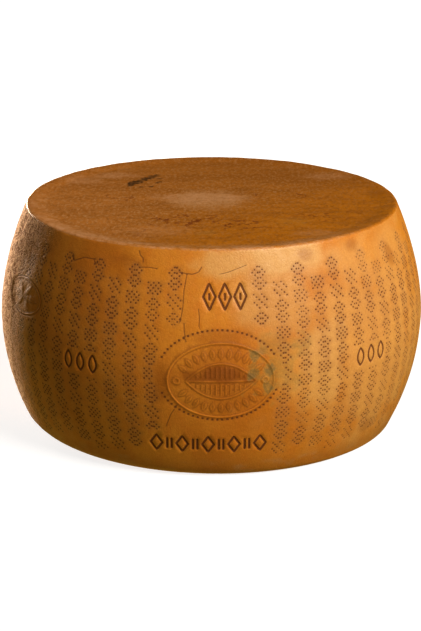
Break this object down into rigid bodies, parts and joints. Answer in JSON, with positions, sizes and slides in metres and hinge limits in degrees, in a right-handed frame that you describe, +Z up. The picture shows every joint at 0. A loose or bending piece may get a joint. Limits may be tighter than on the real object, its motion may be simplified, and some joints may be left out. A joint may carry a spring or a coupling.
{
  "type": "hard cheese wheel",
  "caption": "Whole uncut barrel-shaped wheel of hard aged cheese with a pin-dotted rind, oval pressed seals and burned line ornaments, standing on its flat face.",
  "frame": {"origin": "middle of the wheel's footprint, on the plane it stands on", "axes": "+Z up along the wheel's axis, the side with the large oval seal faces -Y, +X to the right as seen from there"},
  "size_m": [0.4494, 0.4516, 0.236],
  "materials": {
    "rind": "golden-brown oiled natural rind, satin, with burned brown pin dots and lines"
  },
  "bodies": {
    "root": {"cheese_wheel": "rind"}
  },
  "joints": []
}
